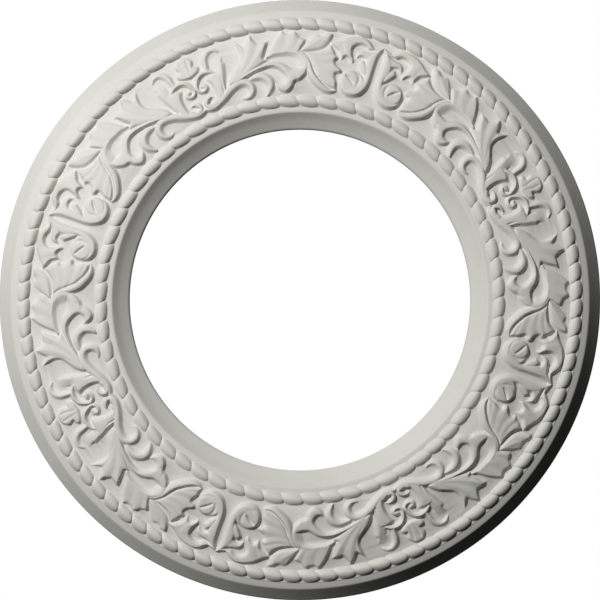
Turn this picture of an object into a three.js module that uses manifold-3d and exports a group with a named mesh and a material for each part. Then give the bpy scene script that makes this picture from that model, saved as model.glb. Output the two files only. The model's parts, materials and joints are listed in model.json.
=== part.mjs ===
// Ceiling rose: an open-centred ceiling medallion moulded in one piece.
// It lies as it does on a ceiling: the flat back is the plane z = 0 and faces up (+Z), the ornament faces
// down (-Z), and the origin is on the ring's axis in the plane of the back. Millimetres, degrees where named.
import * as THREE from 'three';
import * as BufferGeometryUtils from 'three/addons/utils/BufferGeometryUtils.js';
import Module from 'manifold-3d';

// ---------------------------------------------------------------- driving dimensions
const OUTER_R = 370;          // outer rim at the ceiling
const HOLE_R = 210;           // open centre at the ceiling; its wall leans in to the lip of the cove
const RIM_EDGE = 2.5;         // upright edge at the outer rim
const BEVEL_TOP_R = 352, BEVEL_TOP_H = 23.3;       // steep outer slope
const OUTER_FILLET_R = 344.2, OUTER_FILLET_H = 26.9; // narrow fillet outside the outer rope
const FRIEZE_OUT_R = 327, FRIEZE_OUT_H = 28.7;     // frieze, outer edge
const FRIEZE_MID_R = 317.7, FRIEZE_MID_H = 30;
const FRIEZE_TOP_R = 262.5, FRIEZE_TOP_H = 41.5;   // the dome levels off here
const FRIEZE_IN_R = 247.3, FRIEZE_IN_H = 42.5;     // frieze, inner edge
const INNER_FILLET_R = 231.4, INNER_FILLET_H = 42.5; // flat fillet inside the inner rope
const COVE_TOP_R = 226.2;     // the cove begins
const COVE_MID = [[218.2, 35.1]];
const COVE_FOOT_R = 206.9, COVE_FOOT_H = 26.4;     // lip of the open centre

const OUTER_ROPE = { radius: 335.0, halfWidth: 7.9, height: 6.0, beads: 96, joint: 0 };
const INNER_ROPE = { radius: 239.1, halfWidth: 7.6, height: 5.2, beads: 64, joint: -2.5 };
const ROPE_SPANS = 2;         // facets across a rope
const ROPE_SLANT = 0.46;      // run of a bead's joint along the ring for each mm across it
const ROPE_JOINT_DEPTH = 0.55; // share of the rope's height that is cut away at a joint

const RELIEF = 5.6;           // leaves and scrolls stand this far off the frieze
const EDGE_DROP = 0.6;        // their edges stand this share of that
const SINK = 1.2;             // how far their undersides are sunk below the frieze
const QUARTERS = 4;           // the ornament repeats four times, and each repeat is mirrored
const COLOUR = 0xd9d7cf;

const RAD = Math.PI / 180;

// height of the smooth ground (without ropes and leaves) above the back, at radius r
const GROUND = [
  [COVE_FOOT_R, COVE_FOOT_H], ...[...COVE_MID].reverse(), [COVE_TOP_R, INNER_FILLET_H], [INNER_FILLET_R, INNER_FILLET_H],
  [FRIEZE_IN_R, FRIEZE_IN_H], [FRIEZE_TOP_R, FRIEZE_TOP_H], [FRIEZE_MID_R, FRIEZE_MID_H],
  [FRIEZE_OUT_R, FRIEZE_OUT_H], [OUTER_FILLET_R, OUTER_FILLET_H], [BEVEL_TOP_R, BEVEL_TOP_H], [OUTER_R, RIM_EDGE],
].sort((p, q) => p[0] - q[0]);

function groundAt(r) {
  for (let i = 1; i < GROUND.length; i++) {
    const [r0, h0] = GROUND[i - 1], [r1, h1] = GROUND[i];
    if (r <= r1) return h0 + (h1 - h0) * (r - r0) / (r1 - r0);
  }
  return RIM_EDGE;
}

// ---------------------------------------------------------------- solids and joins
const wasm = await Module();
wasm.setup();

function toSolid(geometry) {
  geometry.deleteAttribute('normal');
  geometry.deleteAttribute('uv');
  const merged = BufferGeometryUtils.mergeVertices(geometry, 1e-4);
  const pos = merged.attributes.position, index = merged.index;
  const tris = [];
  let volume = 0;
  const v = (i) => [pos.getX(i), pos.getY(i), pos.getZ(i)];
  for (let i = 0; i < index.count; i += 3) {
    const [a, b, c] = [index.getX(i), index.getX(i + 1), index.getX(i + 2)];
    if (a === b || b === c || a === c) continue;
    const [p, q, s] = [v(a), v(b), v(c)];
    volume += p[0] * (q[1] * s[2] - q[2] * s[1]) - p[1] * (q[0] * s[2] - q[2] * s[0]) + p[2] * (q[0] * s[1] - q[1] * s[0]);
    tris.push(a, b, c);
  }
  if (volume < 0) for (let i = 0; i < tris.length; i += 3) [tris[i + 1], tris[i + 2]] = [tris[i + 2], tris[i + 1]];
  return new wasm.Manifold(new wasm.Mesh({
    numProp: 3, vertProperties: new Float32Array(pos.array), triVerts: new Uint32Array(tris),
  }));
}

// ---------------------------------------------------------------- the ring and its two ropes
// One turned section. Each line of the section has its own number of stations round the ring: few on the plain
// mouldings, two for each bead on the ropes, where the line is full at the middle of a bead and cut down at its
// joint, and the joints run aslant across the rope.
const PLAIN = 48, FINEST = 384;

function ropeLines({ radius, halfWidth, height, beads, joint }) {
  const lines = [];
  for (let j = 0; j <= ROPE_SPANS; j++) {
    const x = 2 * j / ROPE_SPANS - 1, r = radius + x * halfWidth;
    const arch = height * Math.sqrt(Math.max(0, 1 - x * x));
    lines.push({ r, h: groundAt(r), stations: beads * 2, turn: joint - ROPE_SLANT * (r - radius) / radius / RAD,
      full: arch, cut: arch * (1 - ROPE_JOINT_DEPTH) });
  }
  return lines;
}

function ring() {
  const plain = (r, h) => ({ r, h, stations: PLAIN, turn: 0, full: 0, cut: 0 });
  const section = [
    plain(HOLE_R, 0), plain(COVE_FOOT_R, COVE_FOOT_H), ...[...COVE_MID].reverse().map(([r, h]) => plain(r, h)),
    plain(COVE_TOP_R, INNER_FILLET_H), ...ropeLines(INNER_ROPE), plain(FRIEZE_TOP_R, FRIEZE_TOP_H),
    plain(FRIEZE_MID_R, FRIEZE_MID_H), ...ropeLines(OUTER_ROPE), plain(OUTER_FILLET_R, OUTER_FILLET_H),
    plain(BEVEL_TOP_R, BEVEL_TOP_H), plain(OUTER_R, RIM_EDGE), plain(OUTER_R, 0), plain(HOLE_R, 0),
  ];
  const lathe = new THREE.LatheGeometry(section.map(({ r, h }) => new THREE.Vector2(r, h)), FINEST);
  const pos = lathe.attributes.position;
  for (let i = 0; i < pos.count; i++) {
    const { r, h, stations, turn, full, cut } = section[i % section.length];
    const station = Math.round(Math.floor(i / section.length) * stations / FINEST) % stations;
    const theta = (turn + station * 360 / stations) * RAD;
    pos.setXYZ(i, r * Math.cos(theta), r * Math.sin(theta), -(h + (station % 2 ? full : cut)));
  }
  return toSolid(lathe);
}

// ---------------------------------------------------------------- frieze ornament
// Drawn flat: u runs along the ring in degrees from a palmette's axis (0) to a heart's axis (45), v in mm
// outward from the frieze's inner edge (0) to its outer edge (80). A piece is a strip along a smooth line:
// each stop is [u, v, half-width to the left, half-width to the right]. A leaf has raised edges; a stem or scroll
// (edge: STEM_EDGE) is a ridge that falls to the ground on both sides.
const FRIEZE_V0 = FRIEZE_IN_R;
const STEM_EDGE = -0.1;
const MEAN_R = (FRIEZE_IN_R + FRIEZE_OUT_R) / 2;

function strip(stops, { steps = stops.length - 1, crown = 1, tip = 0.3, edge = EDGE_DROP } = {}) {
  const line = new THREE.CatmullRomCurve3(stops.map(([u, v]) => new THREE.Vector3(u * RAD * MEAN_R, v, 0)), false, 'centripetal');
  const widths = new THREE.CatmullRomCurve3(stops.map(([, , l, r], i) => new THREE.Vector3(l, r, i)), false, 'catmullrom');
  const box = new THREE.BoxGeometry(2, 1, 1, 2, steps, 1);
  const pos = box.attributes.position;
  for (let i = 0; i < pos.count; i++) {
    const side = Math.round(pos.getX(i));
    const t = Math.round((pos.getY(i) + 0.5) * steps) / steps;
    const upper = pos.getZ(i) > 0;
    const p = line.getPoint(t), d = line.getTangent(t), w = widths.getPoint(t);
    const reach = Math.max(tip, side < 0 ? w.x : w.y);
    const s = p.x + d.y * side * reach, q = p.y - d.x * side * reach;
    const r = FRIEZE_V0 + q, theta = s / MEAN_R;
    const lift = RELIEF * crown * (side === 0 ? 1 : edge);
    const h = groundAt(r) + (upper ? lift : -SINK);
    pos.setXYZ(i, r * Math.cos(theta), r * Math.sin(theta), -h);
  }
  return box;
}

const PIECES = [
  // half palmette fan on the axis
  strip([[-0.1, 50, 0.5, 3], [0.8, 66, 4, 9.5], [0.7, 78, 3, 3]], { crown: 0.9, edge: STEM_EDGE }),
  // crook rising beside the palmette
  strip([[4.7, 50, 3, 3], [4.2, 62, 4, 4], [5.6, 74, 4, 4], [7.9, 71, 2.4, 2.4]], { edge: STEM_EDGE, steps: 3 }),
  // C-scroll beside the axis, curled in at both ends
  strip([[2.6, 36, 2, 2], [1.0, 41, 3, 3], [3.2, 51, 3.8, 3.8], [5.4, 42, 4.2, 4.2], [5.3, 22, 4.2, 4.2], [3.0, 11.5, 3.6, 3.6],
    [1.0, 17, 3, 3], [2.2, 22, 2, 2]], { edge: STEM_EDGE, steps: 5 }),
  // narrow leaf
  strip([[7.1, 18, 1.2, 1.5], [7.4, 40, 4.5, 5.5], [8.3, 57, 9, 7]], { edge: STEM_EDGE }),
  // main stem, bending over between the two cups
  strip([[0.2, 4.5, 2.4, 2.4], [4.2, 5, 3.4, 3.4], [9.6, 19.5, 4.6, 4.6], [19.4, 37, 4.2, 4.2], [24.2, 23, 3.4, 3.4]], { edge: STEM_EDGE, steps: 5 }),
  // its lower volute
  strip([[10.4, 21.5, 3, 3.6], [13.4, 17, 4.4, 4.4], [12.9, 7, 3.6, 3.6], [10.2, 6.5, 2, 2]], { edge: STEM_EDGE, steps: 2 }),
  // first large leaf
  strip([[8.8, 27, 2, 2], [13.6, 44, 12, 12], [14.6, 62, 14, 17], [14.6, 77, 12, 8]]),
  // lower lobes
  strip([[15.4, 27.5, 3, 3], [17.9, 16, 6, 7.5], [17.2, 2.5, 1.5, 1.5]], { crown: 0.9, edge: STEM_EDGE }),
  strip([[27.6, 24.5, 2, 2.5], [23, 12, 6, 7], [20.6, 16, 3, 3.5]], { crown: 0.9, edge: STEM_EDGE }),
  // rim of the upper cup
  strip([[18.8, 49, 2.4, 3], [23.4, 51, 4, 4], [27.2, 45, 4.4, 4.4], [27.8, 33, 3.6, 3.6], [24.5, 27.5, 2.5, 3]], { edge: STEM_EDGE, steps: 4 }),
  // second large leaf
  strip([[21.8, 53, 6, 8], [23.8, 71, 9.5, 10], [24.6, 80, 5, 5]]),
  // third leaf
  strip([[27.0, 54, 3, 2.5], [30.6, 66, 7.5, 7], [33.4, 79, 1.5, 1.5]]),
  // long fan leaf, ribs to one side of its ridge and a plain flank to the other
  strip([[26.6, 52.5, 1.5, 2], [29.6, 36, 14, 5], [32.2, 20, 18, 12], [35.8, 8.5, 4, 4]]),
  // leaf that curls over beside the heart
  strip([[33.6, 66, 2, 2], [38.6, 65, 9.5, 12.5], [45.1, 71, 2.5, 2.5]]),
  // heart stroke and its volute
  strip([[45.0, 71, 2, 2], [43.6, 56, 4.4, 4.4], [43.2, 32, 5, 5], [41.8, 13, 5, 5], [38.8, 8.4, 4.4, 4.4], [36.4, 19, 1.5, 1.5]], { edge: STEM_EDGE, steps: 4 }),
  strip([[37.4, 28, 2, 2], [39.6, 33.5, 3.2, 3.2], [41.6, 26, 3.6, 3.6], [40.6, 15.5, 3.6, 3.6], [38.2, 19, 3, 3]], { edge: STEM_EDGE, steps: 3 }),
];

// ---------------------------------------------------------------- joining it all
function turned(geometry, angle, mirrored) {
  const g = geometry.clone();
  if (mirrored) g.scale(1, -1, 1);
  g.rotateZ(angle * RAD);
  return toSolid(g);
}

let body = ring();
for (let quarter = 0; quarter < QUARTERS; quarter++) {
  for (const mirrored of [false, true]) {
    for (const piece of PIECES) body = body.add(turned(piece, quarter * 360 / QUARTERS, mirrored));
  }
}

const mesh = body.getMesh();
const geometry = new THREE.BufferGeometry();
geometry.setAttribute('position', new THREE.BufferAttribute(new Float32Array(mesh.vertProperties), 3));
geometry.setIndex(new THREE.BufferAttribute(new Uint32Array(mesh.triVerts), 1));
geometry.computeVertexNormals();

const material = new THREE.MeshStandardMaterial({ color: COLOUR, roughness: 0.75, metalness: 0 });
const rose = new THREE.Mesh(geometry, material);
rose.name = 'ceiling_rose';

const part = new THREE.Group();
part.add(rose);

export default part;
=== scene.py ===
import json
import math

import bmesh
import bpy
import numpy as np
from mathutils import Matrix, Vector

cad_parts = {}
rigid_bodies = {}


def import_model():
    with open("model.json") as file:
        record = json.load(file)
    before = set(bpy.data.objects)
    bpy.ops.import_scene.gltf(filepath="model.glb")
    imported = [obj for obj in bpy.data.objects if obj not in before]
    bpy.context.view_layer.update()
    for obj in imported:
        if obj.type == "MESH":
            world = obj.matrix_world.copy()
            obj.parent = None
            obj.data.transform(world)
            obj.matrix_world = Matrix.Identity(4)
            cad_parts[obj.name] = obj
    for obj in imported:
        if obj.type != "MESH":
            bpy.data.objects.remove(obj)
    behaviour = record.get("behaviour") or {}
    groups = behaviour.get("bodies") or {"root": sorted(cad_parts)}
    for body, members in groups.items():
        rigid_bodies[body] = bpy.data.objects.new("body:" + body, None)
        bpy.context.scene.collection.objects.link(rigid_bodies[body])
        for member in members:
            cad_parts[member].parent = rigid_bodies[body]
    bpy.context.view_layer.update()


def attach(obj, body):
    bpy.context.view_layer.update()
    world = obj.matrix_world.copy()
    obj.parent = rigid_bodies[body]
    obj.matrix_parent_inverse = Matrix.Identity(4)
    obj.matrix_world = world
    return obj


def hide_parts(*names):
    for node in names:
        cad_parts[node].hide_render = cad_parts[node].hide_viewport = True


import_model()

# ---- one half repeat of the frieze, drawn on a sheet: 1560 wide (45 degrees, palmette axis to heart axis) and
# 566 high (outer rope to inner rope); about 6.85 sheet units to a millimetre
SHEET_W, SHEET_H = 1560.0, 566.0
RIB = 0.55  # how strongly the fine folds of the leaves are marked
FLANK = 27.0  # width of the sloping side of a strand or leaf


def curve(points, per=10):
    """Smooth line through the rows of points; every column is carried along."""
    P = np.asarray(points, float)
    if len(P) == 2:
        t = np.linspace(0, 1, per + 1)[:, None]
        return P[0] * (1 - t) + P[1] * t
    P = np.vstack([2 * P[0] - P[1], P, 2 * P[-1] - P[-2]])
    out = []
    for i in range(1, len(P) - 2):
        p0, p1, p2, p3 = P[i - 1 : i + 3]
        d = [max(1e-6, np.hypot(*(b[:2] - a[:2])) ** 0.5) for a, b in ((p0, p1), (p1, p2), (p2, p3))]
        m1 = (p1 - p0) / d[0] - (p2 - p0) / (d[0] + d[1]) + (p2 - p1) / d[1]
        m2 = (p2 - p1) / d[1] - (p3 - p1) / (d[1] + d[2]) + (p3 - p2) / d[2]
        m1, m2 = m1 * d[1], m2 * d[1]
        t = (np.arange(per) / per)[:, None]
        out.append((2 * t**3 - 3 * t**2 + 1) * p1 + (t**3 - 2 * t**2 + t) * m1 + (-2 * t**3 + 3 * t**2) * p2 + (t**3 - t**2) * m2)
    out.append(P[-2][None, :])
    return np.vstack(out)


def slope(f):
    """A straight side that rounds over at the top."""
    f = np.clip(f, 0, 1)
    return np.where(f < 0.6, f * 1.28, 1 - (1 - f) ** 2 * 1.45)


class Sheet:
    def __init__(self, x, y):
        self.x, self.y = x, y
        self.X, self.Y = np.meshgrid(x, y)
        self.H = np.zeros_like(self.X)

    def window(self, line, reach):
        i0, i1 = np.searchsorted(self.x, [line[:, 0].min() - reach, line[:, 0].max() + reach])
        j0, j1 = np.searchsorted(self.y, [line[:, 1].min() - reach, line[:, 1].max() + reach])
        return slice(j0, j1), slice(i0, i1)

    def nearest(self, line, reach):
        """Distance, side and place along the line for each point near it."""
        win = self.window(line, reach)
        shape = self.X[win].shape
        best = np.full(shape, 1e9)
        place, side = np.zeros(shape), np.zeros(shape)
        x0, y0 = win[1].start, win[0].start
        for k in range(len(line) - 1):
            a, b = line[k, :2], line[k + 1, :2]
            seg = np.array([a, b])
            w = self.window(seg, reach)
            js, xs = slice(w[0].start - y0, w[0].stop - y0), slice(w[1].start - x0, w[1].stop - x0)
            dx, dy = b - a
            L = dx * dx + dy * dy + 1e-9
            px, py = self.X[w] - a[0], self.Y[w] - a[1]
            t = np.clip((px * dx + py * dy) / L, 0, 1)
            qx, qy = px - t * dx, py - t * dy
            d = np.hypot(qx, qy)
            near = d < best[js, xs]
            best[js, xs] = np.where(near, d, best[js, xs])
            place[js, xs] = np.where(near, k + t, place[js, xs])
            side[js, xs] = np.where(near, np.sign(dx * qy - dy * qx), side[js, xs])
        return win, best, place, side

    def inside(self, line):
        win = self.window(line, 2)
        X, Y = self.X[win], self.Y[win]
        odd = np.zeros(X.shape, bool)
        x1, y1 = line[:, 0], line[:, 1]
        x2, y2 = np.roll(x1, -1), np.roll(y1, -1)
        for a, b, c, d in zip(x1, y1, x2, y2):
            if b == d:
                continue
            cross = ((Y < b) != (Y < d)) & (X < (c - a) * (Y - b) / (d - b) + a)
            odd ^= cross
        return win, odd

    # ---- marks
    def band(self, points, section, over=False, sink=0.0, per=10, flank=FLANK):
        """A stem or scroll: points (x, y, half-width, height); section [(s, h)] from its left (-1) to its right (1)."""
        line = curve(points, per)
        reach = line[:, 2].max() + 3
        win, d, place, side = self.nearest(line, reach)
        n = np.arange(len(line))
        w, h = np.interp(place, n, line[:, 2]), np.interp(place, n, line[:, 3])
        s = np.clip(d / np.maximum(w, 1), 0, 1.2) * np.where(side < 0, -1, 1)
        S, Hs = np.array(section).T
        val = h * np.interp(s, S, Hs)
        for end, top, here in ((-S[0], Hs[0], s < 0), (S[-1], Hs[-1], s >= 0)):
            if top > 0.05:
                reach_in = end * w - d
                val = np.where(here, val * slope(reach_in / np.minimum(flank, np.maximum(end * w, 1))), val)
        on = (s > S[0]) & (s < S[-1])
        old = self.H[win]
        self.H[win] = np.where(on, np.where(over, val, np.maximum(old - sink, val)), old)

    def leaf(self, outline, spines, section, height, ribs=(), over=False, edge=24.0, tilt=(0, 0)):
        """A leaf: outline points (x, y, 1 if sharp), spines as point lists, section [(s, h)] from its edge (0) to a spine (1)."""
        O = [tuple(p) + (0,) * (3 - len(p)) for p in outline]
        k0 = next((i for i, p in enumerate(O) if p[2]), 0)
        O = O[k0:] + O[:k0] + [O[k0]]
        parts, run = [], [O[0][:2]]
        for p in O[1:]:
            run.append(p[:2])
            if p[2]:
                parts.append(curve(run, 8)[:-1])
                run = [p[:2]]
        if len(run) > 1:
            parts.append(curve(run, 8)[:-1])
        line = np.vstack(parts)
        loop = np.vstack([line, line[:1]])
        win, odd = self.inside(line)
        _, de, _, _ = self.nearest_in(loop, win)
        ds = np.full(de.shape, 1e9)
        for sp in spines:
            _, d, _, _ = self.nearest_in(curve(sp, 8), win)
            ds = np.minimum(ds, d)
        s = de / (de + ds + 1e-6)
        S, Hs = np.array(section).T
        val = np.interp(s, S, Hs) * height
        val = val + tilt[0] * (self.X[win] - line[:, 0].mean()) / 100 + tilt[1] * (self.Y[win] - line[:, 1].mean()) / 100
        for pts in ribs:
            rl = curve(pts, 8)
            _, d, place, _ = self.nearest_in(rl, win)
            n = np.arange(len(rl))
            w, a = np.interp(place, n, rl[:, 2]), np.interp(place, n, rl[:, 3])
            val = val + a * RIB * np.exp(-((d / np.maximum(w, 1)) ** 2) * 0.9)
        val = val * slope(de / edge)
        old = self.H[win]
        self.H[win] = np.where(odd, np.where(over, val, np.maximum(old, val)), old)

    def nearest_in(self, line, win):
        X, Y = self.X[win], self.Y[win]
        best = np.full(X.shape, 1e9)
        place, side = np.zeros(X.shape), np.zeros(X.shape)
        for k in range(len(line) - 1):
            a, b = line[k, :2], line[k + 1, :2]
            dx, dy = b - a
            L = dx * dx + dy * dy + 1e-9
            px, py = X - a[0], Y - a[1]
            t = np.clip((px * dx + py * dy) / L, 0, 1)
            qx, qy = px - t * dx, py - t * dy
            d = np.hypot(qx, qy)
            near = d < best
            best = np.where(near, d, best)
            place = np.where(near, k + t, place)
            side = np.where(near, np.sign(dx * qy - dy * qx), side)
        return win, best, place, side

    def carve(self, points, per=8):
        """A groove (height below 0) or a raised line: points (x, y, half-width, height)."""
        line = curve(points, per)
        win, d, place, _ = self.nearest(line, line[:, 2].max() * 2 + 3)
        n = np.arange(len(line))
        w, a = np.interp(place, n, line[:, 2]), np.interp(place, n, line[:, 3])
        val = a * np.exp(-((d / np.maximum(w, 1)) ** 2) * 1.2)
        self.H[win] = np.maximum(0, self.H[win] + val * (self.H[win] > 0.3))

    def soften(self, sigma):
        """Blur by sigma sheet units, mirrored at the two axes."""
        for axis, step in ((0, self.y[1] - self.y[0]), (1, self.x[1] - self.x[0])):
            s = sigma / step
            n = max(1, int(3 * s))
            k = np.exp(-0.5 * (np.arange(-n, n + 1) / s) ** 2)
            k /= k.sum()
            pad = [(n, n) if a == axis else (0, 0) for a in (0, 1)]
            P = np.pad(self.H, pad, mode="reflect" if axis == 1 else "edge")
            out = 0
            for i, w in enumerate(k):
                out = out + w * (P[i : i + self.H.shape[0], :] if axis == 0 else P[:, i : i + self.H.shape[1]])
            self.H = out


ROUND = [(-1, 0.86), (-0.5, 0.95), (0, 1), (0.5, 0.95), (1, 0.86)]
RIDGE = [(-1, 0.6), (-0.5, 0.78), (-0.12, 0.98), (0, 1), (0.12, 0.98), (0.5, 0.78), (1, 0.6)]


FLUTED = [(-1, 0.9), (-0.62, 0.92), (-0.3, 0.66), (0, 0.72), (0.3, 0.92), (0.6, 1), (1, 0.9)]
# crown near the left flank, long fall to the right, and the other way round
LEFT_CROWN = [(-1, 0.92), (-0.5, 1), (-0.15, 0.93), (0.3, 0.76), (0.7, 0.58), (1, 0.45)]
RIGHT_CROWN = [(-s, h) for s, h in reversed(LEFT_CROWN)]
# rim of a hollow: a long slope on the left of the line and a straight flank on its right, and the other way round
RIM_R = [(-1, 0), (-0.85, 0.14), (-0.6, 0.42), (-0.3, 0.82), (-0.1, 0.98), (0.05, 1), (0.46, 0.92)]
RIM_L = [(-s, h) for s, h in reversed(RIM_R)]
# strand with a gentle outer side and a crisp crest over a steep wall
SCOOP = [(-1, 0), (-0.75, 0.26), (-0.4, 0.72), (-0.1, 0.97), (0.1, 1), (0.85, 0.95)]


def draw(S):
    # --- palmette: half of it, broad petals with deep gaps
    S.leaf([(-30, 214), (-30, 60), (-2, 22, 1), (30, 28), (54, 44, 1), (76, 84), (60, 134, 1), (84, 138), (102, 160), (88, 192, 1), (44, 212)],
           [[(0, 200), (-2, 40)]], [(0, 0.9), (1, 1)], 5.0, edge=19)
    S.carve([(10, 196, 6, -0.5), (24, 120, 9, -1.0), (28, 60, 8, -0.9)])
    # --- crook beside the palmette
    S.band([(146, 220, 26, 4.8), (152, 170, 31, 4.8), (158, 122, 34, 4.6), (180, 84, 34, 4.3), (212, 64, 30, 3.9), (246, 64, 24, 3.5), (274, 86, 14, 2.6)],
           [(-1, 0.3), (-0.6, 0.76), (-0.2, 1), (0.3, 0.98), (0.9, 0.86)], flank=27)
    # --- narrow leaf: a crest over a steep wall on its right, fading away to its left
    S.band([(236, 434, 10, 5.0), (240, 342, 74, 5.4), (252, 290, 90, 5.4), (261, 235, 94, 5.3), (271, 208, 84, 4.8)],
           [(-1, 0), (-0.8, 0.2), (-0.4, 0.62), (-0.1, 0.94), (0.04, 1), (0.42, 0.94)], flank=40)
    S.carve([(206, 190, 7, -1.6), (198, 226, 9, -2.2), (194, 262, 7, -1.4)])
    # --- C-scroll: its broad back, high on the right and falling to the hollow on the left
    S.leaf([(104, 280, 1), (128, 326), (142, 382), (139, 438), (108, 494, 1), (150, 520), (236, 462, 1), (244, 390), (256, 342), (279, 262, 1), (236, 250), (180, 246), (140, 256)],
           [[(190, 440), (206, 360), (226, 290)]], [(0, 0.94), (0.4, 1), (1, 0.97)], 5.6, edge=34)
    # the arch that curls in to an eye, and the lower curl
    S.band([(200, 254, 18, 4.8), (154, 228, 25, 5.5), (106, 221, 27, 5.7), (58, 240, 26, 5.7), (26, 286, 22, 5.4), (14, 332, 19, 5.0), (32, 360, 18, 4.9), (66, 364, 23, 5.0), (92, 344, 25, 5.0), (82, 318, 20, 4.8)], ROUND)
    S.band([(60, 322, 24, 4.8), (86, 336, 26, 4.9)], ROUND)
    S.band([(112, 436, 13, 4.4), (70, 436, 19, 4.8), (40, 458, 29, 5.4), (40, 492, 32, 5.7), (84, 512, 30, 5.8), (132, 490, 28, 5.8)], ROUND, flank=16)
    S.carve([(50, 478, 9, -3.8), (78, 458, 11, -4.8), (110, 434, 9, -3.6)])
    # --- first large leaf
    S.leaf([(262, 415, 1), (290, 352), (332, 302), (388, 262), (426, 218), (436, 168), (424, 108), (408, 40, 1), (440, 72), (474, 106, 1), (500, 58), (541, 14, 1),
            (560, 60), (588, 104, 1), (628, 96), (677, 94, 1), (656, 140), (640, 190), (618, 236, 1), (650, 262), (600, 290), (500, 345), (400, 398), (320, 408)],
           [[(300, 396), (380, 300), (424, 200), (432, 110), (413, 52)], [(300, 396), (430, 292), (510, 170), (540, 36)],
            [(300, 398), (480, 306), (580, 205), (664, 106)]],
           [(0, 0.7), (0.3, 0.78), (0.6, 0.88), (1, 1)], 6.2,
           ribs=[[(330, 384, 6, -0.2), (440, 250, 12, -0.6), (474, 160, 12, -1.0), (474, 112, 8, -0.8)],
                 [(340, 390, 6, -0.2), (500, 262, 12, -0.6), (566, 160, 13, -1.0), (586, 112, 8, -0.8)],
                 [(380, 290, 16, -0.6), (330, 340, 12, -0.5)],
                 [(560, 240, 9, 0.5), (600, 180, 9, 0.5), (640, 130, 7, 0.4)]])
    # --- second large leaf, above the upper cup
    S.leaf([(652, 222, 1), (686, 150), (730, 70), (786, 6, 1), (797, 34), (830, 44), (872, 22, 1), (898, 44), (914, 72), (936, 84), (966, 98, 1), (952, 140),
            (930, 180), (914, 226, 1), (840, 228), (760, 228), (690, 232)],
           [[(668, 206), (712, 140), (760, 70), (788, 20)], [(800, 206), (850, 130), (876, 40)], [(880, 206), (926, 140), (956, 106)]],
           [(0, 0.82), (0.4, 0.9), (1, 1)], 5.5,
           ribs=[[(760, 200, 14, -0.5), (800, 130, 16, -0.9), (806, 60, 12, -0.9)], [(858, 196, 10, -0.3), (894, 130, 12, -0.7), (908, 84, 9, -0.8)]])
    # --- third leaf
    S.leaf([(902, 210, 1), (940, 152), (974, 104), (1012, 58), (1046, 40, 1), (1072, 54), (1110, 30), (1166, 28, 1), (1160, 80), (1136, 130), (1094, 172), (1030, 196), (960, 208)],
           [[(912, 202), (1010, 140), (1100, 80), (1158, 38)]],
           [(0, 0.6), (0.3, 0.72), (0.7, 0.9), (1, 1)], 5.6,
           ribs=[[(940, 190, 8, -0.3), (1010, 120, 10, -0.8), (1044, 62, 8, -0.9)], [(950, 192, 8, -0.3), (1050, 140, 10, -0.7), (1094, 80, 9, -0.8), (1110, 44, 7, -0.6)],
                 [(960, 200, 7, -0.2), (1060, 172, 8, -0.6), (1130, 110, 8, -0.7)]])
    # --- fan leaf to the right of the long stem
    S.leaf([(915, 196, 1), (1000, 206), (1080, 190), (1130, 152), (1162, 112, 1), (1176, 150), (1196, 180), (1206, 206), (1232, 232), (1210, 262),
            (1222, 292), (1252, 310), (1280, 334, 1), (1262, 362), (1228, 372), (1232, 400), (1250, 440), (1252, 478), (1262, 512, 1), (1180, 492), (1110, 452), (1050, 392), (1010, 310), (970, 240)],
           [[(950, 216), (1080, 214), (1170, 180)], [(970, 240), (1100, 262), (1200, 232)], [(1010, 300), (1130, 330), (1270, 336)],
            [(1060, 390), (1160, 420), (1236, 440)], [(1100, 440), (1180, 470), (1252, 500)]],
           [(0, 0.78), (0.3, 0.82), (0.7, 0.9), (1, 0.96)], 5.8,
           ribs=[[(950, 206, 7, -0.5), (1060, 208, 9, -0.9), (1140, 178, 9, -0.6)], [(1000, 240, 9, -0.3), (1110, 240, 10, -0.6), (1190, 210, 9, -0.8)],
                 [(1020, 290, 12, -0.3), (1120, 300, 14, -0.7), (1205, 268, 12, -1.0)], [(1060, 350, 12, -0.3), (1150, 380, 14, -0.6), (1222, 382, 12, -1.0)],
                 [(1080, 410, 9, -0.3), (1170, 446, 10, -0.5), (1240, 470, 9, -0.7)]])
    # --- main stem and its hollow volute
    S.band([(-20, 500, 22, 4.6), (30, 522, 22, 5.2), (80, 530, 24, 5.6), (140, 512, 34, 6.0), (200, 482, 42, 6.2), (260, 446, 44, 6.2), (320, 420, 42, 6.0), (380, 404, 42, 5.8), (432, 412, 42, 5.7),
            (466, 444, 42, 5.6), (472, 488, 42, 5.4), (446, 524, 34, 4.8), (404, 538, 22, 3.6), (368, 530, 10, 2.2)], [(-1, 0.9), (-0.5, 1), (0, 0.96), (0.6, 0.86), (1, 0.8)], flank=36)
    # --- stem that crosses between the two cups
    S.band([(250, 424, 8, 5.6), (330, 398, 14, 6.0), (410, 368, 18, 6.2), (490, 340, 21, 6.2), (560, 320, 22, 6.2), (640, 303, 25, 6.2), (716, 308, 33, 6.0), (778, 344, 40, 6.0),
            (812, 390, 38, 5.6), (812, 436, 28, 4.4)], ROUND, flank=29)
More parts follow.
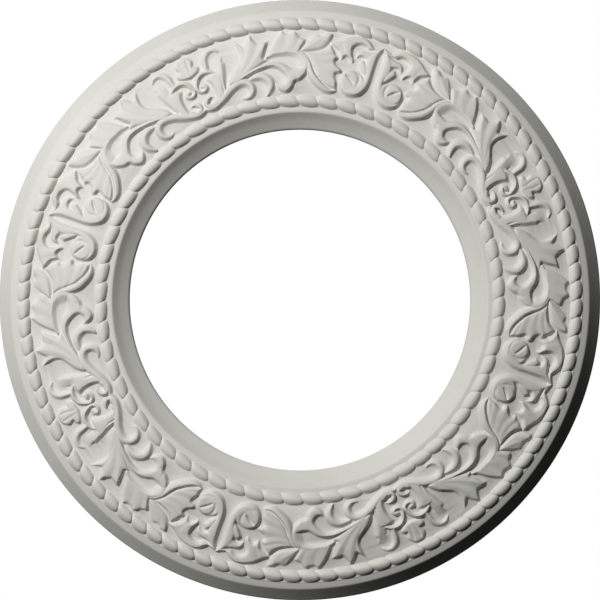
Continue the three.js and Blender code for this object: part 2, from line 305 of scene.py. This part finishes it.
    # --- lower lobes: a ridge that hooks back, and the scalloped plate under the stem
    S.band([(452, 402, 10, 3.2), (500, 390, 30, 4.8), (568, 386, 42, 5.6), (622, 414, 46, 5.8), (648, 460, 46, 5.6), (634, 510, 38, 5.0), (600, 554, 14, 3.2)], ROUND, flank=36)
    S.leaf([(686, 440, 1), (724, 462), (764, 456), (788, 420), (780, 366), (800, 318), (850, 342), (900, 338), (950, 322), (990, 336, 1), (974, 392), (932, 436), (900, 456), (872, 462), (858, 492), (826, 530), (776, 552), (722, 530), (694, 490)],
           [[(730, 500), (790, 500), (840, 450), (900, 412), (956, 370)]], [(0, 0.9), (0.5, 0.96), (1, 1)], 5.7, edge=27,
           ribs=[[(826, 452, 10, -0.6), (846, 474, 14, -1.6), (858, 492, 10, -1.0)], [(880, 410, 8, -0.5), (890, 436, 12, -1.4), (894, 458, 8, -0.8)], [(716, 448, 26, -4.2), (752, 458, 26, -3.6), (786, 440, 20, -2.4)]])
    # --- rim of the upper cup, running into the long stem
    S.band([(640, 236, 20, 4.4), (690, 216, 30, 5.0), (760, 206, 36, 5.2), (840, 206, 42, 5.4), (904, 222, 56, 5.6), (946, 262, 76, 5.8), (966, 316, 84, 6.0), (956, 366, 50, 5.2)],
           [(-0.5, 0.85), (-0.05, 1), (0.12, 0.94), (0.4, 0.62), (0.7, 0.26), (0.9, 0.05), (1, 0)])
    S.band([(900, 200, 14, 4.6), (948, 232, 24, 5.4), (984, 290, 30, 6.2), (1002, 360, 38, 6.8), (1036, 424, 42, 7.0), (1090, 474, 40, 6.8), (1150, 510, 36, 6.2), (1206, 520, 26, 5.2), (1248, 508, 10, 3.2)], [(-1, 0.8), (-0.5, 0.95), (-0.1, 1), (0.35, 0.84), (0.8, 0.56), (1, 0.45)])
    # --- leaf that curls over beside the heart: its body with the hook, and the tongue inside the curl
    S.leaf([(1142, 112, 1), (1206, 82), (1262, 44), (1330, 18), (1400, 14), (1450, 38), (1490, 82, 1), (1562, 54, 1), (1562, 92, 1), (1510, 110), (1470, 114), (1440, 114, 1), (1424, 98), (1390, 88),
            (1352, 102), (1333, 130), (1338, 176), (1360, 232, 1), (1344, 268, 1), (1322, 234), (1292, 214), (1264, 234), (1250, 262, 1), (1244, 228), (1232, 202, 1), (1222, 176), (1184, 148)],
           [[(1170, 112), (1250, 72), (1330, 44), (1400, 40), (1466, 84)], [(1262, 80), (1288, 150), (1310, 210)], [(1480, 96), (1556, 76)]],
           [(0, 0.84), (0.4, 0.92), (1, 1)], 6.0,
           ribs=[[(1240, 110, 10, -0.5), (1256, 160, 10, -1.0), (1262, 200, 8, -0.9)]])
    S.leaf([(1364, 214, 1), (1370, 162), (1398, 132), (1450, 124), (1500, 108), (1544, 88), (1522, 132), (1496, 186), (1478, 252, 1), (1456, 208), (1410, 186)],
           [[(1388, 162), (1450, 152), (1510, 118)]], [(0, 0.84), (1, 1)], 5.0, edge=20)
    # --- heart stroke, its bottom turn, and its bowl with one slit
    S.band([(1556, 64, 8, 4.6), (1524, 108, 30, 5.6), (1498, 168, 46, 6.0), (1490, 240, 52, 6.0), (1500, 310, 42, 6.0), (1500, 370, 42, 6.2), (1480, 424, 50, 6.4), (1440, 474, 52, 6.7), (1390, 498, 44, 6.7),
            (1338, 496, 36, 6.2), (1298, 470, 24, 5.2), (1274, 430, 10, 3.0)], [(-1, 0.94), (-0.6, 1), (0, 0.97), (0.5, 0.95), (1, 0.88)], flank=35)
    S.leaf([(1266, 442), (1270, 382), (1302, 336), (1356, 312), (1420, 322), (1482, 356), (1496, 410), (1460, 470), (1390, 500), (1310, 490)],
           [[(1352, 400), (1384, 412)]], [(0, 0.96), (0.4, 1), (1, 0.96)], 5.7, edge=26, tilt=(0.1, 0.6),
           ribs=[[(1320, 366, 7, -5.0), (1354, 390, 9, -6.5), (1394, 426, 7, -4.6)], [(1380, 328, 8, -1.2), (1420, 346, 12, -3.2), (1438, 388, 13, -3.6), (1426, 440, 9, -1.8)]])
    S.leaf([(1420, 200, 1), (1452, 218), (1480, 256), (1490, 310), (1484, 372, 1), (1458, 336), (1424, 296), (1392, 242, 1), (1408, 222)],
           [[(1424, 222), (1462, 274), (1478, 340)]], [(0, 0.85), (1, 1)], 5.4, edge=22)


# ---- sizes, in millimetres; z is measured down from the ceiling, so it is negative
HALF = 45.0                               # degrees in half a repeat
SHEET_PER_DEG = SHEET_W / HALF
R_TOP, MM_PER_ROW = 329.5, 0.1473         # radius of row 0 of the sheet, and its fall with y
FRIEZE_OUT_R, FRIEZE_IN_R = 327.0, 247.3
GROUND_Y = [17, 50, 80, 110, 140, 200, 260, 320, 380, 440, 500, 558]
GROUND_H = [28.7, 29.2, 30.0, 31.2, 32.5, 34.6, 36.5, 38.2, 39.9, 41.3, 42.0, 42.5]
# the plain mouldings: radius, height above the ceiling
INSIDE = [(210, 0), (209.2, 8), (207.6, 20), (207.0, 24.6), (206.9, 25.6), (207.3, 26.7), (208.3, 27.8), (209.8, 28.9), (211.6, 30.1), (213.7, 31.7), (215.9, 33.3), (218.2, 35.1),
          (220.4, 37.0), (222.5, 39.0), (224.7, 41.1), (225.7, 42.05), (226.6, 42.45), (228.5, 42.5), (231.1, 42.5)]
OUTSIDE = [(343.2, 27.0), (344.6, 26.6), (347.0, 25.6), (349.8, 24.5), (351.4, 23.8), (352.3, 22.9), (353.6, 21.4), (360.0, 13.9), (367.6, 5.2), (369.4, 3.2), (370, 2.2), (370, 0)]
OUTER_ROPE = dict(radius=335.0, half=7.9, height=6.0, beads=96, joint=0.0, inner=28.7, outer=27.4, lean=0.12, bow=0.1, fall=3.4)
INNER_ROPE = dict(radius=239.1, half=7.6, height=5.2, beads=64, joint=-2.5, inner=42.5, outer=42.5, lean=0.0, bow=0.08, fall=2.8)
ROPE_SLANT = 0.46
PLAIN_STEPS = 384


def ground(y):
    yy = np.arange(-60, 640, 2.0)
    h = np.interp(yy, GROUND_Y, GROUND_H)
    k = np.exp(-0.5 * (np.arange(-15, 16) / 6.0) ** 2)
    h = np.convolve(np.pad(h, 15, mode="edge"), k / k.sum(), mode="valid")
    return np.interp(y, yy, h)


def frieze_half():
    """The carved half repeat as (x, y, height) vertices and triangles, thinned where it is smooth."""
    S = Sheet(np.arange(0, SHEET_W + 1, 2.0), np.arange(0, SHEET_H + 1, 2.0))
    draw(S)
    S.soften(2.4)
    y_out, y_in = (R_TOP - FRIEZE_OUT_R) / MM_PER_ROW, (R_TOP - FRIEZE_IN_R) / MM_PER_ROW
    nx, ny = 346, 124
    gx, gy = np.linspace(0, SHEET_W, nx + 1), np.linspace(y_out, y_in, ny + 1)
    X, Y = np.meshgrid(gx, gy)
    fx, fy = np.clip(X / 2, 0, S.H.shape[1] - 1.001), np.clip(Y / 2, 0, S.H.shape[0] - 1.001)
    i, j = fx.astype(int), fy.astype(int)
    u, v = fx - i, fy - j
    H = (S.H[j, i] * (1 - u) + S.H[j, i + 1] * u) * (1 - v) + (S.H[j + 1, i] * (1 - u) + S.H[j + 1, i + 1] * u) * v
    H *= np.clip((Y - y_out) / 8, 0, 1) * np.clip((y_in - Y) / 8, 0, 1)
    Z = ground(Y) + H
    verts = np.stack([X * 0.1455, Y * MM_PER_ROW, Z], -1).reshape(-1, 3)
    n = nx + 1
    a = (np.arange(ny)[:, None] * n + np.arange(nx)[None, :]).ravel()
    faces = np.concatenate([np.stack([a, a + 1, a + n + 1], 1), np.stack([a, a + n + 1, a + n], 1)])
    mesh = bpy.data.meshes.new("half")
    mesh.from_pydata(verts.tolist(), [], faces.tolist())
    obj = bpy.data.objects.new("half", mesh)
    bpy.context.scene.collection.objects.link(obj)
    edge = (X <= 0) | (X >= SHEET_W) | (Y <= y_out + 1e-6) | (Y >= y_in - 1e-6)
    group = obj.vertex_groups.new(name="thin")
    group.add(np.flatnonzero(~edge.ravel()).tolist(), 1.0, "REPLACE")
    mod = obj.modifiers.new("thin", "DECIMATE")
    mod.ratio = 14200 / len(faces)
    mod.vertex_group = "thin"
    mod.use_collapse_triangulate = True
    thin = bpy.data.meshes.new_from_object(obj.evaluated_get(bpy.context.evaluated_depsgraph_get()))
    P = np.array([v.co[:] for v in thin.vertices])
    F = [tuple(p.vertices) for p in thin.polygons]
    bpy.data.objects.remove(obj)
    bpy.data.meshes.remove(mesh)
    bpy.data.meshes.remove(thin)
    count = {}
    for f in F:
        for p, q in zip(f, f[1:] + f[:1]):
            key = (min(p, q), max(p, q))
            count[key] = count.get(key, 0) + 1
    rim = {p for key, c in count.items() if c == 1 for p in key}
    print("half repeat:", len(P), "points", len(F), "triangles; rim", len(rim), "of", int(edge.sum()))
    return P, F, rim, y_out * MM_PER_ROW, y_in * MM_PER_ROW


class Builder:
    def __init__(self):
        self.points, self.faces = [], []

    def add(self, r, theta, h):
        self.points.append((r * math.cos(theta) / 1000, r * math.sin(theta) / 1000, -h / 1000))
        return len(self.points) - 1

    def ring(self, r, h, n):
        return [(self.add(r, 2 * math.pi * k / n, h), 2 * math.pi * k / n) for k in range(n)]

    def tri(self, a, b, c):
        self.faces.append((a, b, c))

    def stitch(self, inner, outer):
        """Triangles between two closed rings of (index, angle), inner to outer, seen from below."""
        def ordered(ring):
            return sorted(((t % (2 * math.pi), i) for i, t in ring))
        A, B = ordered(inner), ordered(outer)
        j0 = min(range(len(B)), key=lambda k: abs((B[k][0] - A[0][0] + math.pi) % (2 * math.pi) - math.pi))
        B = B[j0:] + [(t + 2 * math.pi, i) for t, i in B[:j0]]
        B = [(t - 2 * math.pi if t - A[0][0] > math.pi and k == 0 else t, i) for k, (t, i) in enumerate(B)]
        if B[0][0] < A[0][0] - math.pi or (len(B) > 1 and B[1][0] - B[0][0] > math.pi):
            base = B[0][0]
            B = [B[0]] + [(base + (t - base) % (2 * math.pi), i) for t, i in B[1:]]
        A.append((A[0][0] + 2 * math.pi, A[0][1]))
        B.append((B[0][0] + 2 * math.pi, B[0][1]))
        i = j = 0
        while i < len(A) - 1 or j < len(B) - 1:
            if j == len(B) - 1 or (i < len(A) - 1 and A[i + 1][0] <= B[j + 1][0]):
                self.tri(A[i][1], A[i + 1][1], B[j][1])
                i += 1
            else:
                self.tri(A[i][1], B[j + 1][1], B[j][1])
                j += 1


def rope(b, radius, half, height, beads, joint, inner, outer, lean, bow, fall):
    """A cable of slanted beads; returns its first and last rings."""
    rows = [-1, -0.96, -0.87, -0.74, -0.56, -0.34, -0.1, 0.14, 0.37, 0.58, 0.75, 0.88, 0.96, 1]
    stations = [0, 0.022, 0.06, 0.12, 0.22, 0.38, 0.6, 0.77, 0.87, 0.935, 0.976]
    pitch = 2 * math.pi / beads
    rings = []
    for s in rows:
        r = radius + s * half
        ring = []
        base = inner + (outer - inner) * (s + 1) / 2
        shear = math.radians(joint) - ROPE_SLANT * s * half / radius + bow * s * s * pitch
        c = s + lean * (1 - s * s)
        for k in range(beads):
            for p in stations:
                q = abs(2 * p - 1)
                h = base + height * max(0.0, 1 - abs(c) ** 2 - (0.34 + 0.36 * abs(c) ** 1.2) * q ** fall - 0.12 * q ** 14) ** 0.8
                t = shear + (k + p) * pitch
                ring.append((b.add(r, t, h), t))
        rings.append(ring)
    n = beads * len(stations)
    for lo, hi in zip(rings, rings[1:]):
        for k in range(n):
            a, c, d, e = lo[k][0], lo[(k + 1) % n][0], hi[(k + 1) % n][0], hi[k][0]
            b.tri(a, c, d)
            b.tri(a, d, e)
    return rings[0], rings[-1]


def build_rose():
    b = Builder()
    inside = [b.ring(r, h, PLAIN_STEPS) for r, h in INSIDE]
    in0, in1 = rope(b, **INNER_ROPE)
    # the frieze, eight times round
    P, F, rim, v_out, v_in = frieze_half()
    seen = {}
    loops = {"in": {}, "out": {}}
    for k in range(4):
        for mirror in (1, -1):
            index = {}
            for n, (px, py, h) in enumerate(P):
                t = px / (SHEET_W * 0.1455) * math.radians(HALF)
                if n in rim:
                    if abs(py - v_out) < 0.02:
                        py = v_out
                    if abs(py - v_in) < 0.02:
                        py = v_in
                angle = (k * math.pi / 2 + mirror * t) % (2 * math.pi)
                r = R_TOP - py
                key = None
                if n in rim:
                    key = (round(angle * 1e4) % round(2 * math.pi * 1e4), round(r * 1e3))
                    if key in seen:
                        index[n] = seen[key]
                        continue
                index[n] = b.add(r, angle, h)
                if key is not None:
                    seen[key] = index[n]
                    if py == v_out:
                        loops["out"][key] = (index[n], angle)
                    if py == v_in:
                        loops["in"][key] = (index[n], angle)
            for f in F:
                g = [index[i] for i in f]
                b.tri(*(g if mirror < 0 else g[::-1]))
    out0, out1 = rope(b, **OUTER_ROPE)
    outside = [b.ring(r, h, PLAIN_STEPS) for r, h in OUTSIDE]
    chain = inside + [in0]
    for lo, hi in zip(chain, chain[1:]):
        b.stitch(lo, hi)
    b.stitch(in1, list(loops["in"].values()))
    b.stitch(list(loops["out"].values()), out0)
    chain = [out1] + outside + [inside[0]]
    for lo, hi in zip(chain, chain[1:]):
        b.stitch(lo, hi)
    mesh = bpy.data.meshes.new("rose_body")
    mesh.from_pydata(b.points, [], b.faces)
    mesh.validate()
    obj = bpy.data.objects.new("rose_body", mesh)
    bpy.context.scene.collection.objects.link(obj)
    bm = bmesh.new()
    bm.from_mesh(mesh)
    bmesh.ops.recalc_face_normals(bm, faces=bm.faces)
    bad = [e for e in bm.edges if len(e.link_faces) != 2]
    print("rose_body:", len(bm.faces), "triangles,", len(bad), "edges not shared by two, volume", round(bm.calc_volume() * 1000, 3), "litres")
    bm.to_mesh(mesh)
    bm.free()
    mesh.shade_smooth()
    mesh.set_sharp_from_angle(angle=math.radians(60))
    return obj


# ---- the material: matt off-white primer on moulded foam, with a faint mottle and a fine skin
def moulding_material():
    mat = bpy.data.materials.new("moulding_primer")
    mat.use_nodes = True
    nt = mat.node_tree
    nt.nodes.clear()
    new = nt.nodes.new
    out, bsdf = new("ShaderNodeOutputMaterial"), new("ShaderNodeBsdfPrincipled")
    nt.links.new(bsdf.outputs[0], out.inputs[0])
    bsdf.inputs["Specular IOR Level"].default_value = 0.22
    at = new("ShaderNodeTexCoord")

    def noise(scale, detail, rough):
        n = new("ShaderNodeTexNoise")
        n.inputs["Scale"].default_value, n.inputs["Detail"].default_value, n.inputs["Roughness"].default_value = scale, detail, rough
        nt.links.new(at.outputs["Object"], n.inputs["Vector"])
        return n

    broad, fine, grain = noise(7, 3, 0.55), noise(160, 4, 0.6), noise(900, 2, 0.5)
    mix = new("ShaderNodeMix")
    mix.data_type = "FLOAT"
    mix.inputs[0].default_value = 0.35
    nt.links.new(broad.outputs[0], mix.inputs[2])
    nt.links.new(fine.outputs[0], mix.inputs[3])
    ramp = new("ShaderNodeValToRGB")
    ramp.color_ramp.elements[0].position, ramp.color_ramp.elements[0].color = 0.3, (0.655, 0.648, 0.600, 1)
    ramp.color_ramp.elements[1].position, ramp.color_ramp.elements[1].color = 0.7, (0.715, 0.709, 0.662, 1)
    nt.links.new(mix.outputs[0], ramp.inputs[0])
    nt.links.new(ramp.outputs[0], bsdf.inputs["Base Color"])
    rough = new("ShaderNodeMapRange")
    rough.inputs["To Min"].default_value, rough.inputs["To Max"].default_value = 0.58, 0.74
    nt.links.new(fine.outputs[0], rough.inputs[0])
    nt.links.new(rough.outputs[0], bsdf.inputs["Roughness"])
    b1, b2 = new("ShaderNodeBump"), new("ShaderNodeBump")
    b1.inputs["Strength"].default_value, b1.inputs["Distance"].default_value = 0.25, 0.0004
    b2.inputs["Strength"].default_value, b2.inputs["Distance"].default_value = 0.15, 0.00012
    nt.links.new(fine.outputs[0], b1.inputs["Height"])
    nt.links.new(grain.outputs[0], b2.inputs["Height"])
    nt.links.new(b1.outputs[0], b2.inputs["Normal"])
    nt.links.new(b2.outputs[0], bsdf.inputs["Normal"])
    return mat


rose = build_rose()
rose.data.materials.append(moulding_material())
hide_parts("ceiling_rose")
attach(rose, "root")

# ---- floor, light and camera; the camera looks straight up at the ceiling
FLOOR_Z = -5.0
floor_mesh = bpy.data.meshes.new("floor")
floor_mesh.from_pydata([(-20, -20, FLOOR_Z), (20, -20, FLOOR_Z), (20, 20, FLOOR_Z), (-20, 20, FLOOR_Z)], [], [(0, 1, 2, 3)])
floor = bpy.data.objects.new("floor", floor_mesh)
bpy.context.scene.collection.objects.link(floor)
floor_mat = bpy.data.materials.new("floor_pale")
floor_mat.use_nodes = True
# the floor is pale to the eye, and throws hardly any light back up on the ornament
ft = floor_mat.node_tree
pale = ft.nodes["Principled BSDF"]
pale.inputs["Base Color"].default_value = (0.78, 0.78, 0.77, 1)
pale.inputs["Roughness"].default_value = 0.9
still = ft.nodes.new("ShaderNodeBsdfDiffuse")
still.inputs["Color"].default_value = (0.02, 0.02, 0.02, 1)
f_mix, f_path = ft.nodes.new("ShaderNodeMixShader"), ft.nodes.new("ShaderNodeLightPath")
ft.links.new(f_path.outputs["Is Camera Ray"], f_mix.inputs[0])
ft.links.new(still.outputs[0], f_mix.inputs[1])
ft.links.new(pale.outputs[0], f_mix.inputs[2])
ft.links.new(f_mix.outputs[0], ft.nodes["Material Output"].inputs[0])
floor_mesh.materials.append(floor_mat)


def lamp(name, toward, distance, size, power, target=(0, 0, -0.03)):
    data = bpy.data.lights.new(name, "AREA")
    data.shape, data.size, data.energy = "DISK", size, power
    obj = bpy.data.objects.new(name, data)
    n = np.array(toward, float)
    n /= np.linalg.norm(n)
    obj.location = tuple(np.array(target) + n * distance)
    obj.rotation_mode = "QUATERNION"
    obj.rotation_quaternion = Vector(n.tolist()).to_track_quat("Z", "Y")
    bpy.context.scene.collection.objects.link(obj)
    return obj


lamp("key", (-0.226, -0.602, -0.766), 3.6, 0.5, 128)
# a soft light from over the ceiling side, for the flat back and the floor
over = bpy.data.lights.new("over", "SUN")
over.energy, over.angle = 2.3, 0.35
over_obj = bpy.data.objects.new("over", over)
over_obj.rotation_mode = "QUATERNION"
over_obj.rotation_quaternion = Vector((0.3, -0.5, 0.9)).to_track_quat("Z", "Y")
bpy.context.scene.collection.objects.link(over_obj)

bpy.context.scene.view_settings.view_transform = "Standard"

world = bpy.data.worlds.new("studio")
bpy.context.scene.world = world
world.use_nodes = True
wt = world.node_tree
wt.nodes.clear()
w_out = wt.nodes.new("ShaderNodeOutputWorld")
seen_bg, lit_bg = wt.nodes.new("ShaderNodeBackground"), wt.nodes.new("ShaderNodeBackground")
seen_bg.inputs[0].default_value, seen_bg.inputs[1].default_value = (1, 1, 1, 1), 1.0
lit_bg.inputs[0].default_value, lit_bg.inputs[1].default_value = (1, 1, 1, 1), 0.014
w_mix, w_path = wt.nodes.new("ShaderNodeMixShader"), wt.nodes.new("ShaderNodeLightPath")
wt.links.new(w_path.outputs["Is Camera Ray"], w_mix.inputs[0])
wt.links.new(lit_bg.outputs[0], w_mix.inputs[1])
wt.links.new(seen_bg.outputs[0], w_mix.inputs[2])
wt.links.new(w_mix.outputs[0], w_out.inputs[0])

turn = math.radians(26.4)
cam_data = bpy.data.cameras.new("camera")
cam_data.lens, cam_data.sensor_width = 77.8, 36.0
cam = bpy.data.objects.new("camera", cam_data)
right, up = (math.cos(turn), math.sin(turn), 0), (math.sin(turn), -math.cos(turn), 0)
cam.matrix_world = Matrix(((right[0], up[0], 0, 0), (right[1], up[1], 0, 0), (0, 0, -1, -1.6), (0, 0, 0, 1)))
bpy.context.scene.collection.objects.link(cam)
bpy.context.scene.camera = cam
